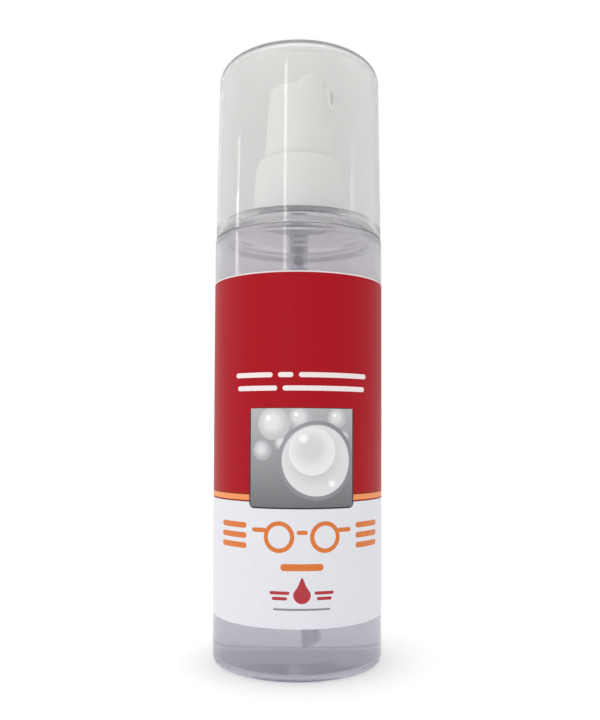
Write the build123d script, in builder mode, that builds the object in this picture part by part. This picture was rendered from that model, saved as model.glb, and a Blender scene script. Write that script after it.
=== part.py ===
from build123d import *
import math
import os

# Clear pump-spray bottle for lens cleaner, 40 mm across and 144.9 mm tall with its overcap on.
# Millimetres. The origin is the centre of the base, +Z is up, the label's front faces -Y.

# ---- bottle: blow-moulded clear plastic
bottle_radius = 20.0
body_height = 99.9
bottle_wall = 1.2
base_edge_radius = 3.0
base_push_up = 2.2
push_up_flat_radius = 8.0
push_up_rounding = 16.0
standing_ring_inner_radius = 15.5
shoulder_edge_radius = 1.2
inside_rounding = 0.6
snap_ring_radius = 17.8
snap_ring_height = 4.2
snap_ring_rounding = 0.8
snap_bead_depth = 0.9
snap_bead_height = 1.5
snap_bead_rounding = 0.2
shoulder_rise = 0.5

# ---- neck with its outside thread, eight turns to the inch
neck_radius = 7.85
neck_bore_radius = 6.0
neck_height = 7.2
neck_lip_rounding = 0.2
thread_pitch = 3.175
thread_depth = 0.9
thread_root_width = 1.5
thread_crest_width = 0.6
thread_sink = 0.15
thread_start = 3.05
neck_thread_turns = 1.0

# ---- overcap: thin clear cup that drops over the pump and rests on the bottle's shoulder
cap_rim_radius = 19.85
cap_top_radius = 19.25
cap_height = 45.0
cap_corner_radius = 3.8
cap_crown_rise = 2.3
cap_wall = 0.9
cap_roof_wall = 1.2
cap_bead_depth = 0.1
cap_bead_height = 3.0
cap_bead_width = 0.8
cap_bead_sink = 0.3
cap_seat_gap = 0.02

# ---- closure collar: smooth white screw collar that holds the pump on the neck
collar_wall = 1.45
collar_flare = 0.55
collar_foot_height = 3.8
collar_foot_blend = 3.0
collar_foot_edge_radius = 0.3
collar_height = 13.8
collar_shoulder_rounding = 2.0
collar_lip_rounding = 0.6
collar_mouth_rounding = 0.3
collar_shoulder_drop = 2.6
collar_lip_drop = 0.5
collar_lip_inset = 0.6
collar_lip_width = 0.25
collar_foot_gap = 0.6
deck_thickness = 0.9
deck_hole_clearance = 0.3
deck_face_gap = 0.03
thread_clearance = 0.15
thread_crest_clearance = 0.25
collar_thread_turns = 1.0

# ---- gasket, housing, retainer and vent seal
gasket_thickness = 0.8
gasket_bore_gap = 0.05
flange_edge_clearance = 0.4
flange_thickness = 1.0
chamber_radius = 3.0
chamber_wall = 0.8
retainer_seat_radius = 4.0
barrel_bore_radius = 1.85
barrel_wall = 0.5
barrel_length = 6.0
housing_edge_radius = 0.2
housing_step_rounding = 0.3
seal_thickness = 0.5
retainer_spigot_depth = 2.3
retainer_head_radius = 4.9
retainer_rise = 2.2
retainer_edge_radius = 0.5
retainer_fine_edge_radius = 0.2
press_gap = 0.02
vent_hole_radius = 0.2

# ---- stem, piston and piston seat
stroke = 3.6
end_clearance = 0.2
running_clearance = 0.05
guide_clearance = 0.08
stem_radius = 1.9
stem_bore_radius = 0.75
stem_foot_bore_radius = 1.2
stem_foot_bore_depth = 2.2
stem_port_radius = 0.35
stem_port_height = 0.6
stem_edge_radius = 0.2
piston_height = 2.4
piston_waist_depth = 0.45
piston_lip_height = 0.5
piston_lip_rounding = 0.1
piston_waist_rounding = 0.2
piston_slip = 0.5
seat_radius = 2.5
seat_thickness = 0.8
spring_post_radius = 1.1
spring_post_length = 2.6
spring_post_rounding = 0.4
seat_edge_radius = 0.15
peg_edge_radius = 0.2
seat_slot_width = 0.6

# ---- spring, inlet ball and dip tube
spring_radius = 1.475
spring_wire_radius = 0.225
spring_coils = 7.0
spring_end_gap = 0.03
ball_radius = 1.35
ball_seat_gap = 0.01
ball_pocket_clearance = 0.15
ball_cone_angle = 45.0
ball_pocket_depth = 2.8
inlet_hole_radius = 0.8
inlet_land = 0.6
tube_radius = 1.7
tube_bore_radius = 1.1
tube_socket_depth = 5.0
tube_straight_length = 19.0
tube_side_reach = 2.7
tube_floor_gap = 2.6
tube_end_angle = 30.0

# ---- actuator button and its spray insert
skirt_radius = 8.35
skirt_edge_radius = 0.2
rim_radius = 7.1
actuator_height = 17.8
actuator_wall = 0.9
actuator_roof = 2.2
roof_inner_rounding = 0.8
rim_edge_radius = 0.35
collar_fit_clearance = 0.3
stem_socket_depth = 8.6
socket_wall = 1.2
hood_radius = 4.1
hood_shift = 2.6
hood_height = 4.2
hood_taper = 5.0
hood_edge_radius = 2.6
ridge_width = 2.3
pad_centre_rise = 1.3
spray_azimuth = -15.0
spray_drop = 1.7
spray_reach = 8.2
spray_boss_radius = 2.3
spray_boss_root = 2.6
insert_radius = 1.6
insert_length = 2.4
insert_recess = 0.8
orifice_radius = 0.2
dimple_radius = 1.1
dimple_depth = 0.5
swirl_radius = 0.9
swirl_depth = 0.6
channel_radius = 0.7

# ---- label and contents
label_bottom = 11.7
label_shoulder_gap = 10.8
label_thickness = 0.1
label_gap = 2.8
headspace = 12.3
contents_wall_gap = 0.05
contents_tube_gap = 0.5
tube_sleeve_margin = 1.0

# ---- heights that follow, from the shoulder
snap_ring_top = body_height + snap_ring_height
neck_root = snap_ring_top + shoulder_rise
neck_top = neck_root + neck_height
flange_bottom = neck_top + gasket_thickness
flange_top = flange_bottom + flange_thickness
deck_bottom = flange_top + deck_face_gap
deck_top = deck_bottom + deck_thickness
collar_bottom = neck_root + collar_foot_gap
collar_top = collar_bottom + collar_height
retainer_top = flange_top + retainer_rise
skirt_bottom = deck_top + end_clearance + stroke
rim_height = skirt_bottom + actuator_height
hood_top = rim_height + hood_height
socket_bottom = retainer_top + end_clearance + stroke
stem_top = socket_bottom + stem_socket_depth
spray_height = rim_height - spray_drop
cap_bottom = body_height + cap_seat_gap
label_top = body_height - label_shoulder_gap
fill_level = body_height - headspace
cap_top = cap_bottom + cap_height

# ---- heights that follow, from the retainer down
spigot_bottom = flange_top - retainer_spigot_depth
seal_bottom = spigot_bottom - seal_thickness
piston_top = seal_bottom - end_clearance - piston_slip
piston_bottom = piston_top - piston_height
seat_bottom = piston_bottom - seat_thickness
stem_bottom = piston_bottom + running_clearance
chamber_floor = seat_bottom - stroke - end_clearance
spring_shelf = chamber_floor - barrel_length
inlet_top = spring_shelf - ball_pocket_depth
tube_top = inlet_top - inlet_land
housing_bottom = tube_top - tube_socket_depth
tube_bottom = bottle_wall + tube_floor_gap

# ---- radii and places that follow
inside_radius = bottle_radius - bottle_wall
ring_inside_radius = snap_ring_radius - bottle_wall
neck_thread_bottom = neck_root + thread_start
collar_bore_radius = neck_radius + thread_depth + thread_clearance
collar_radius = max(collar_bore_radius, skirt_radius + collar_fit_clearance) + collar_wall
collar_foot_radius = collar_radius + collar_flare
collar_mouth_radius = skirt_radius + collar_fit_clearance
flange_radius = collar_bore_radius - flange_edge_clearance
barrel_radius = barrel_bore_radius + barrel_wall
ball_pocket_radius = ball_radius + ball_pocket_clearance
ball_contact = ball_radius * math.sin(math.radians(ball_cone_angle))
ball_height = inlet_top - inlet_hole_radius + 2 * ball_contact + ball_seat_gap
socket_radius = stem_radius + socket_wall
spray_plane = Plane.XZ.rotated((0, spray_azimuth, 0))
button_plane = Plane.XY.rotated((0, 0, spray_azimuth))


def turned_face(corners):
    """Closed half outline beside the Z axis. Each corner is (radius, height, rounding)."""
    with BuildSketch(Plane.XZ) as outline:
        with BuildLine():
            places = [(radius, height) for radius, height, rounding in corners]
            roundings = [rounding for radius, height, rounding in corners]
            FilletPolyline(*places, radius=roundings, close=True)
        make_face()
    return outline.sketch


def thread_rib(root_radius, crest_radius, bottom, turns):
    """One helical thread rib from root_radius to crest_radius, sunk a little into its wall."""
    depth = crest_radius - root_radius
    sink = math.copysign(thread_sink, depth)
    with BuildPart() as rib:
        with BuildLine() as path:
            Helix(thread_pitch, thread_pitch * turns, root_radius, center=(0, 0, bottom))
        start = Plane(origin=path.line @ 0, x_dir=(1, 0, 0), z_dir=path.line % 0)
        with BuildSketch(start):
            with BuildLine():
                Polyline(
                    (-sink, -thread_root_width / 2),
                    (depth, -thread_crest_width / 2),
                    (depth, thread_crest_width / 2),
                    (-sink, thread_root_width / 2),
                    close=True,
                )
            make_face()
        sweep(path=path.line, is_frenet=True)
    return rib.part


def tube_line(top, bottom):
    """The dip tube's centre line: straight down, then one wide bend towards +X."""
    bend_top = tube_top - tube_straight_length
    with BuildLine(Plane.XZ) as path:
        Line((0, top), (0, bend_top))
        TangentArc((0, bend_top), (tube_side_reach, bottom), tangent=(0, -1))
    return path.line


def tube_solid(radius, top, bottom):
    """A round bar along the dip tube's line."""
    path = tube_line(top, bottom)
    with BuildPart() as bar:
        with BuildSketch(Plane.XY.offset(top)):
            Circle(radius)
        sweep(path=path)
    return bar.part


def cap_face(rim_radius_here, top_radius_here, top, corner_radius):
    """Half outline of a cup standing upside down: tapered side, rounded corner, crowned roof."""
    flat_radius = cap_top_radius - cap_corner_radius
    crown_radius = (flat_radius**2 + cap_crown_rise**2) / (2 * cap_crown_rise)

    def crown_at(radius):
        return top - crown_radius + math.sqrt(crown_radius**2 - radius**2)

    corner = (top_radius_here, crown_at(top_radius_here))
    middle = (top_radius_here / 2, crown_at(top_radius_here / 2))
    with BuildSketch(Plane.XZ) as outline:
        with BuildLine():
            Polyline((0, top), (0, cap_bottom), (rim_radius_here, cap_bottom), corner)
            ThreePointArc(corner, middle, (0, top))
        make_face()
        fillet(outline.vertices().sort_by_distance(corner)[0], corner_radius)
    return outline.sketch


os.makedirs("parts", exist_ok=True)

# Bottle: the standing ring is the only flat on the base; the snap ring is a step inside the body.
neck_thread = thread_rib(
    neck_radius, neck_radius + thread_depth, neck_thread_bottom, neck_thread_turns
)
bead_middle = body_height + snap_bead_height
with BuildPart() as bottle:
    revolve(
        turned_face(
            [
                (0, base_push_up, 0),
                (push_up_flat_radius, base_push_up, push_up_rounding),
                (standing_ring_inner_radius, 0, 0),
                (bottle_radius, 0, base_edge_radius),
                (bottle_radius, body_height, shoulder_edge_radius),
                (snap_ring_radius, body_height, 0),
                (snap_ring_radius, bead_middle - snap_bead_depth, 0),
                (snap_ring_radius + snap_bead_depth, bead_middle, snap_bead_rounding),
                (snap_ring_radius, bead_middle + snap_bead_depth, 0),
                (snap_ring_radius, snap_ring_top, snap_ring_rounding),
                (neck_radius, neck_root, inside_rounding),
                (neck_radius, neck_top, neck_lip_rounding),
                (0, neck_top, 0),
            ]
        ),
        axis=Axis.Z,
    )
    add(neck_thread)
    revolve(
        turned_face(
            [
                (0, base_push_up + bottle_wall, 0),
                (push_up_flat_radius, base_push_up + bottle_wall, push_up_rounding),
                (standing_ring_inner_radius, bottle_wall, 0),
                (inside_radius, bottle_wall, base_edge_radius - bottle_wall),
                (inside_radius, body_height - bottle_wall, inside_rounding),
                (ring_inside_radius, body_height - bottle_wall, inside_rounding),
                (ring_inside_radius, snap_ring_top - bottle_wall, inside_rounding),
                (neck_bore_radius, neck_root - bottle_wall, inside_rounding),
                (neck_bore_radius, neck_top, 0),
                (0, neck_top, 0),
            ]
        ),
        axis=Axis.Z,
        mode=Mode.SUBTRACT,
    )
bottle.part.label = "bottle"
export_step(bottle.part, "parts/bottle.step")

# Wrap label: a film on the body wall that stops short of meeting itself at the back.
with BuildPart() as wrap_label:
    with BuildSketch(Plane.XY.offset(label_bottom)):
        Circle(bottle_radius + label_thickness)
        Circle(bottle_radius, mode=Mode.SUBTRACT)
        with Locations((0, bottle_radius)):
            Rectangle(label_gap, label_gap, mode=Mode.SUBTRACT)
    extrude(amount=label_top - label_bottom)
wrap_label.part.label = "wrap_label"
export_step(wrap_label.part, "parts/wrap_label.step")

# Contents: the liquid fills the body up to its level, with a sleeve of room for the dip tube.
liquid_radius = inside_radius - contents_wall_gap
liquid_floor = bottle_wall + contents_wall_gap
sleeve_top = fill_level + tube_sleeve_margin
sleeve_bottom = liquid_floor + tube_sleeve_margin
tube_sleeve = tube_solid(tube_radius + contents_tube_gap, sleeve_top, sleeve_bottom)
with BuildPart() as cleaning_fluid:
    revolve(
        turned_face(
            [
                (0, base_push_up + liquid_floor, 0),
                (push_up_flat_radius, base_push_up + liquid_floor, push_up_rounding),
                (standing_ring_inner_radius, liquid_floor, 0),
                (liquid_radius, liquid_floor, base_edge_radius - bottle_wall),
                (liquid_radius, fill_level, 0),
                (0, fill_level, 0),
            ]
        ),
        axis=Axis.Z,
    )
    add(tube_sleeve, mode=Mode.SUBTRACT)
cleaning_fluid.part.label = "cleaning_fluid"
export_step(cleaning_fluid.part, "parts/cleaning_fluid.step")

# Overcap: one shell, with a fine bead inside its rim that rides over the bottle's snap bead.
cap_bore_radius = cap_rim_radius - cap_wall
cap_bead_middle = cap_bottom + cap_bead_height
cap_bead_reach = cap_bore_radius - cap_bead_depth
with BuildPart() as overcap:
    revolve(
        cap_face(cap_rim_radius, cap_top_radius, cap_top, cap_corner_radius),
        axis=Axis.Z,
    )
    revolve(
        cap_face(
            cap_bore_radius,
            cap_top_radius - cap_wall,
            cap_top - cap_roof_wall,
            cap_corner_radius - cap_wall,
        ),
        axis=Axis.Z,
        mode=Mode.SUBTRACT,
    )
    revolve(
        turned_face(
            [
                (cap_bead_reach, cap_bead_middle, 0),
                (cap_bore_radius + cap_bead_sink, cap_bead_middle - cap_bead_width, 0),
                (cap_bore_radius + cap_bead_sink, cap_bead_middle + cap_bead_width, 0),
            ]
        ),
        axis=Axis.Z,
    )
overcap.part.label = "overcap"
export_step(overcap.part, "parts/overcap.step")

# Closure collar: flared foot, tapered wall, rounded shoulder, and an inside deck on the flange.
collar_thread = thread_rib(
    collar_bore_radius,
    neck_radius + thread_crest_clearance,
    neck_thread_bottom - thread_pitch / 2,
    collar_thread_turns,
)
collar_lip_radius = collar_mouth_radius + collar_lip_width
with BuildPart() as closure_collar:
    revolve(
        turned_face(
            [
                (collar_bore_radius, collar_bottom, collar_foot_edge_radius),
                (collar_foot_radius, collar_bottom, collar_foot_edge_radius),
                (collar_foot_radius, collar_bottom + collar_foot_height, collar_foot_blend),
                (collar_radius, collar_top - collar_shoulder_drop, collar_shoulder_rounding),
                (collar_radius - collar_lip_inset, collar_top - collar_lip_drop, collar_lip_rounding),
                (collar_lip_radius, collar_top, 0),
                (collar_mouth_radius, collar_top, 0),
                (collar_mouth_radius, deck_top, collar_mouth_rounding),
                (retainer_head_radius + deck_hole_clearance, deck_top, 0),
                (retainer_head_radius + deck_hole_clearance, deck_bottom, 0),
                (collar_bore_radius, deck_bottom, 0),
            ]
        ),
        axis=Axis.Z,
    )
    add(collar_thread)
closure_collar.part.label = "closure_collar"
export_step(closure_collar.part, "parts/closure_collar.step")

# Neck gasket: a flat ring between the neck's lip and the housing's flange.
with BuildPart() as neck_gasket:
    with BuildSketch(Plane.XY.offset(neck_top)):
        Circle(flange_radius)
        Circle(neck_bore_radius + gasket_bore_gap, mode=Mode.SUBTRACT)
    extrude(amount=gasket_thickness)
neck_gasket.part.label = "neck_gasket"
export_step(neck_gasket.part, "parts/neck_gasket.step")

# Pump housing: flange, chamber, narrow spring barrel, ball pocket with its cone, and tube socket.
chamber_outside = chamber_radius + chamber_wall
seat_outside = retainer_seat_radius + chamber_wall
with BuildPart() as pump_housing:
    revolve(
        turned_face(
            [
                (tube_radius, housing_bottom, 0),
                (barrel_radius, housing_bottom, housing_edge_radius),
                (barrel_radius, chamber_floor - chamber_wall, housing_step_rounding),
                (chamber_outside, chamber_floor - chamber_wall, housing_step_rounding),
                (chamber_outside, seal_bottom - chamber_wall, housing_step_rounding),
                (seat_outside, seal_bottom - chamber_wall, housing_step_rounding),
                (seat_outside, flange_bottom, housing_step_rounding),
                (flange_radius, flange_bottom, 0),
                (flange_radius, flange_top, housing_edge_radius),
                (retainer_seat_radius, flange_top, 0),
                (retainer_seat_radius, seal_bottom, 0),
                (chamber_radius, seal_bottom, 0),
                (chamber_radius, chamber_floor, 0),
                (barrel_bore_radius, chamber_floor, housing_edge_radius),
                (barrel_bore_radius, spring_shelf, 0),
                (ball_pocket_radius, spring_shelf, 0),
                (ball_pocket_radius, inlet_top + ball_pocket_radius - inlet_hole_radius, 0),
                (inlet_hole_radius, inlet_top, 0),
                (inlet_hole_radius, tube_top, 0),
                (tube_radius, tube_top, 0),
            ]
        ),
        axis=Axis.Z,
    )
    with BuildSketch(Plane.YZ):
        with Locations((0, piston_top + (seal_bottom - piston_top) / 2)):
            Circle(vent_hole_radius)
    extrude(amount=seat_outside, mode=Mode.SUBTRACT)
pump_housing.part.label = "pump_housing"
export_step(pump_housing.part, "parts/pump_housing.step")

# Vent seal: a soft washer that the retainer clamps round the stem.
with BuildPart() as vent_seal:
    with BuildSketch(Plane.XY.offset(seal_bottom)):
        Circle(retainer_seat_radius - press_gap)
        Circle(stem_radius + running_clearance, mode=Mode.SUBTRACT)
    extrude(amount=seal_thickness)
vent_seal.part.label = "vent_seal"
export_step(vent_seal.part, "parts/vent_seal.step")

# Retainer: pressed into the housing's mouth, it guides the stem.
guide_radius = stem_radius + guide_clearance
with BuildPart() as pump_retainer:
    revolve(
        turned_face(
            [
                (guide_radius, spigot_bottom, 0),
                (retainer_seat_radius - press_gap, spigot_bottom, retainer_fine_edge_radius),
                (retainer_seat_radius - press_gap, flange_top, 0),
                (retainer_head_radius, flange_top, 0),
                (retainer_head_radius, retainer_top, retainer_edge_radius),
                (guide_radius, retainer_top, retainer_fine_edge_radius),
            ]
        ),
        axis=Axis.Z,
    )
pump_retainer.part.label = "pump_retainer"
export_step(pump_retainer.part, "parts/pump_retainer.step")

# Piston: two thin lips that wipe the chamber, joined by a narrower waist.
piston_radius = chamber_radius - running_clearance
waist_radius = piston_radius - piston_waist_depth
piston_bore = stem_radius + running_clearance
with BuildPart() as piston:
    revolve(
        turned_face(
            [
                (piston_bore, piston_bottom, 0),
                (piston_radius, piston_bottom, 0),
                (piston_radius, piston_bottom + piston_lip_height, piston_lip_rounding),
                (waist_radius, piston_bottom + 2 * piston_lip_height, piston_waist_rounding),
                (waist_radius, piston_top - 2 * piston_lip_height, piston_waist_rounding),
                (piston_radius, piston_top - piston_lip_height, piston_lip_rounding),
                (piston_radius, piston_top, 0),
                (piston_bore, piston_top, 0),
            ]
        ),
        axis=Axis.Z,
    )
piston.part.label = "piston"
export_step(piston.part, "parts/piston.step")

# Piston seat: a disc under the piston, with a post for the spring and a slotted peg in the stem.
peg_radius = stem_foot_bore_radius - running_clearance
peg_top = stem_bottom + stem_foot_bore_depth - end_clearance
with BuildPart() as piston_seat:
    revolve(
        turned_face(
            [
                (0, seat_bottom - spring_post_length, 0),
                (spring_post_radius, seat_bottom - spring_post_length, spring_post_rounding),
                (spring_post_radius, seat_bottom, 0),
                (seat_radius, seat_bottom, seat_edge_radius),
                (seat_radius, piston_bottom, 0),
                (peg_radius, piston_bottom, 0),
                (peg_radius, peg_top, peg_edge_radius),
                (0, peg_top, 0),
            ]
        ),
        axis=Axis.Z,
    )
    with BuildSketch(Plane.XY.offset(stem_bottom)):
        Rectangle(2 * stem_foot_bore_radius, seat_slot_width)
    extrude(amount=stem_foot_bore_depth, mode=Mode.SUBTRACT)
piston_seat.part.label = "piston_seat"
export_step(piston_seat.part, "parts/piston_seat.step")

# Stem: a tube from the piston up into the button, with two ports just above its foot.
with BuildPart() as stem:
    revolve(
        turned_face(
            [
                (stem_foot_bore_radius, stem_bottom, 0),
                (stem_radius, stem_bottom, 0),
                (stem_radius, stem_top, stem_edge_radius),
                (stem_bore_radius, stem_top, 0),
                (stem_bore_radius, stem_bottom + stem_foot_bore_depth, 0),
                (stem_foot_bore_radius, stem_bottom + stem_foot_bore_depth, 0),
            ]
        ),
        axis=Axis.Z,
    )
    with BuildSketch(Plane.YZ):
        with Locations((0, stem_bottom + stem_port_height)):
            Circle(stem_port_radius)
    extrude(amount=2 * stem_radius, both=True, mode=Mode.SUBTRACT)
stem.part.label = "stem"
export_step(stem.part, "parts/stem.step")

# Main spring: round wire between the housing's shelf and the piston seat.
spring_start = spring_shelf + spring_wire_radius + spring_end_gap
spring_rise = seat_bottom - spring_wire_radius - spring_end_gap - spring_start
with BuildPart() as main_spring:
    with BuildLine() as spring_line:
        Helix(
            spring_rise / spring_coils,
            spring_rise,
            spring_radius,
            center=(0, 0, spring_start),
        )
    with BuildSketch(Plane(origin=spring_line.line @ 0, z_dir=spring_line.line % 0)):
        Circle(spring_wire_radius)
    sweep(path=spring_line.line, is_frenet=True)
main_spring.part.label = "main_spring"
export_step(main_spring.part, "parts/main_spring.step")

# Inlet ball: it rests on the cone at the foot of the housing.
with BuildPart(Plane.XY.offset(ball_height)) as inlet_ball:
    Sphere(ball_radius)
inlet_ball.part.label = "inlet_ball"
export_step(inlet_ball.part, "parts/inlet_ball.step")

# Dip tube: pushed up into the housing's socket, with its lower end cut at a slant.
tube_outside = tube_solid(tube_radius, tube_top, tube_bottom)
tube_inside = tube_solid(tube_bore_radius, tube_top, tube_bottom)
slant_size = 4 * tube_radius
slant_place = Location((tube_side_reach, 0, tube_bottom), (0, tube_end_angle, 0))
with BuildPart() as dip_tube:
    add(tube_outside)
    add(tube_inside, mode=Mode.SUBTRACT)
    with Locations(slant_place):
        Box(
            slant_size,
            slant_size,
            slant_size,
            align=(Align.CENTER, Align.CENTER, Align.MAX),
            mode=Mode.SUBTRACT,
        )
dip_tube.part.label = "dip_tube"
export_step(dip_tube.part, "parts/dip_tube.step")

# Actuator: a hollow tapered button. A hood on the spray side rises out of a sloping finger pad.
ridge_inner = hood_shift + hood_radius - hood_height * math.tan(math.radians(hood_taper)) - ridge_width
insert_front = spray_reach - insert_recess
insert_back = insert_front - insert_length
with BuildPart() as actuator:
    revolve(
        turned_face(
            [
                (0, skirt_bottom, 0),
                (skirt_radius, skirt_bottom, skirt_edge_radius),
                (rim_radius, rim_height, rim_edge_radius),
                (0, rim_height, 0),
            ]
        ),
        axis=Axis.Z,
    )
    with BuildSketch(button_plane.offset(rim_height)):
        with Locations((hood_shift, 0)):
            Circle(hood_radius)
    extrude(amount=hood_height, taper=hood_taper)
    fillet(actuator.edges().group_by(Axis.Z)[-1], hood_edge_radius)
    with BuildSketch(spray_plane):
        with BuildLine():
            ThreePointArc(
                (-rim_radius, rim_height),
                (0, rim_height + pad_centre_rise),
                (ridge_inner, hood_top),
            )
            Polyline(
                (ridge_inner, hood_top),
                (ridge_inner, hood_top + hood_height),
                (-rim_radius, hood_top + hood_height),
                (-rim_radius, rim_height),
            )
        make_face()
    extrude(amount=2 * rim_radius, both=True, mode=Mode.SUBTRACT)
    revolve(
        turned_face(
            [
                (0, skirt_bottom, 0),
                (skirt_radius - actuator_wall, skirt_bottom, 0),
                (rim_radius - actuator_wall, rim_height - actuator_roof, roof_inner_rounding),
                (0, rim_height - actuator_roof, 0),
            ]
        ),
        axis=Axis.Z,
        mode=Mode.SUBTRACT,
    )
    with BuildSketch(Plane.XY.offset(socket_bottom)):
        Circle(socket_radius)
    extrude(amount=rim_height - actuator_roof - socket_bottom)
    nozzle_plane = Plane(
        origin=(0, 0, spray_height),
        x_dir=(0, 0, 1),
        z_dir=button_plane.x_dir,
    )
    with BuildSketch(nozzle_plane.offset(spray_boss_root)):
        Circle(spray_boss_radius)
    extrude(amount=spray_reach - spray_boss_root)
    with BuildSketch(nozzle_plane.offset(insert_back)):
        Circle(insert_radius)
    extrude(amount=insert_length + insert_recess, mode=Mode.SUBTRACT)
    with BuildSketch(nozzle_plane):
        Circle(channel_radius)
    extrude(amount=insert_back, mode=Mode.SUBTRACT)
    with BuildSketch(Plane.XY.offset(socket_bottom)):
        Circle(stem_radius)
    extrude(amount=stem_socket_depth, mode=Mode.SUBTRACT)
    with BuildSketch(Plane.XY.offset(stem_top)):
        Circle(channel_radius)
    extrude(amount=spray_height - stem_top, mode=Mode.SUBTRACT)
actuator.part.label = "actuator"
export_step(actuator.part, "parts/actuator.step")

# Spray insert: a small cup pressed into the boss, dished in front, with a swirl chamber behind.
insert_plane = nozzle_plane.offset(insert_back)
with BuildPart(insert_plane) as spray_insert:
    Cylinder(insert_radius, insert_length, align=(Align.CENTER, Align.CENTER, Align.MIN))
    Cylinder(
        swirl_radius,
        swirl_depth,
        align=(Align.CENTER, Align.CENTER, Align.MIN),
        mode=Mode.SUBTRACT,
    )
    Cylinder(
        orifice_radius,
        insert_length,
        align=(Align.CENTER, Align.CENTER, Align.MIN),
        mode=Mode.SUBTRACT,
    )
    with Locations((0, 0, insert_length)):
        Cone(
            orifice_radius,
            dimple_radius,
            dimple_depth,
            align=(Align.CENTER, Align.CENTER, Align.MAX),
            mode=Mode.SUBTRACT,
        )
spray_insert.part.label = "spray_insert"
export_step(spray_insert.part, "parts/spray_insert.step")
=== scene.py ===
import math

import bpy
from mathutils import Matrix, Vector


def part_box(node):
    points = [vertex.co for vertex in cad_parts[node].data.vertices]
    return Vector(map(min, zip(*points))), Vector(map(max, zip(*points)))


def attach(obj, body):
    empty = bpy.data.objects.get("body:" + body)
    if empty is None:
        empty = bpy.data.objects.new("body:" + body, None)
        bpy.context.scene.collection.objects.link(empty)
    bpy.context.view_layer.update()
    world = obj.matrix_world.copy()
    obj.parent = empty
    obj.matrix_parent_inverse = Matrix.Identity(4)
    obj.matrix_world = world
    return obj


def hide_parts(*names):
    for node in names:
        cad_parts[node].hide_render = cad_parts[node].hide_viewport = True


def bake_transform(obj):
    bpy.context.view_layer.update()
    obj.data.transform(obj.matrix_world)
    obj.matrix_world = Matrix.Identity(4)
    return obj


# Clear pump-spray bottle of lens cleaner. Metres, +Z up, the label's front faces -Y.

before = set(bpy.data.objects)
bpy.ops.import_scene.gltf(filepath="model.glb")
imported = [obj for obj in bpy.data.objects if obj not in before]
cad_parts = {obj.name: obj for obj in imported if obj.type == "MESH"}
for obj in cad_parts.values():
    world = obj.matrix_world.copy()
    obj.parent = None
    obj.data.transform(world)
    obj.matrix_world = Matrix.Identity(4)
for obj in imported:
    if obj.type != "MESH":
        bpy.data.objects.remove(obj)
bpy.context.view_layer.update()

MM = 0.001
TURN = 2 * math.pi


# ---------------------------------------------------------------- places read from the frame
def low_high(name):
    """Lowest and highest point of a CAD node along Z, in millimetres."""
    low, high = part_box(name)
    return low.z / MM, high.z / MM


def radius_of(name):
    """Half a CAD node's width across X, in millimetres."""
    low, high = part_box(name)
    return (high.x - low.x) / 2 / MM


bottle_radius = radius_of("bottle")
neck_top = low_high("bottle")[1]
label_bottom, label_top = low_high("wrap_label")
label_radius = radius_of("wrap_label")
cap_bottom, cap_top = low_high("overcap")
cap_radius = radius_of("overcap")
collar_bottom, collar_top = low_high("closure_collar")
collar_foot_radius = radius_of("closure_collar")
button_bottom, hood_top = low_high("actuator")
housing_bottom, flange_top = low_high("pump_housing")
flange_radius = radius_of("pump_housing")
spring_bottom, spring_top = low_high("main_spring")
spring_outside = radius_of("main_spring")
ball_bottom, ball_top = low_high("inlet_ball")
tube_bottom, tube_top = low_high("dip_tube")
fill_level = low_high("cleaning_fluid")[1]

# Sizes that the boxes don't give, in millimetres: the bottle and its neck.
bottle_wall = 1.2
push_up = 0.9
push_up_reach = 8.0
push_up_round = 16.0
standing_ring = 15.5
body_height = 99.9
snap_ring_radius = 17.8
snap_bead = 0.9
snap_bead_rise = 1.5
snap_ring_top = 104.1
neck_root = 104.6
neck_radius = 7.85
neck_bore = 6.0
thread_pitch = 3.175
thread_depth = 0.9
thread_start = 3.05
collar_thread_depth = 0.8

# The overcap and the screw collar.
cap_wall = 0.9
cap_roof = 1.2
cap_top_radius = 19.25
cap_corner = 3.8
cap_crown = 2.3
cap_bead = 0.1
cap_bead_rise = 3.0
cap_bead_half = 0.8
edge_break = 0.1
rim_break = 0.12
collar_radius = 10.35
collar_bore = 8.9
collar_mouth = 8.65
collar_foot_height = 3.8
deck_bottom = flange_top + 0.03
deck_top = deck_bottom + 0.9
deck_hole = 5.2

# The button, its hood over the nozzle, and the nozzle's insert.
skirt_radius = 8.35
button_wall = 0.9
button_roof = 2.2
rim_radius = 7.1
hood_height = 4.2
rim_height = hood_top - hood_height
hood_radius = 4.1
hood_shift = 2.6
hood_edge = 2.6
ridge = 4.05
pad_rise = 1.3
spray_azimuth = math.radians(-15.0)
stroke = 3.6
retainer_rise = 2.2
press_gap = 0.2
socket_bottom = flange_top + retainer_rise + press_gap + stroke
socket_radius = 3.1
stem_radius = 1.9
stem_top = socket_bottom + 8.6
spray_height = rim_height - 1.7
spray_reach = 8.2
boss_radius = 2.3
boss_root = 2.6
boss_depth = 2.9
insert_radius = 1.6
insert_recess = 0.8
insert_length = 2.4

# The pump's housing and the dip tube.
chamber_outside = 3.8
chamber_radius = 3.0
chamber_floor = 103.1
seat_outside = 4.8
barrel_outside = 2.35
barrel_step = 0.8
seat_depth = 3.6
flange_thickness = 1.0
mouth_radius = 4.0
mouth_depth = 2.8
spring_bore = 1.85
ball_bore = 1.5
inlet_bore = 0.8
tube_radius = 1.7
tube_bore = 1.1
tube_straight = 19.0
tube_reach = 2.7
tube_slant = math.radians(30.0)
spring_lift = 0.03
ball_bore_depth = 2.8
ball_cone = 0.7

SEGMENTS = 160


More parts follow.
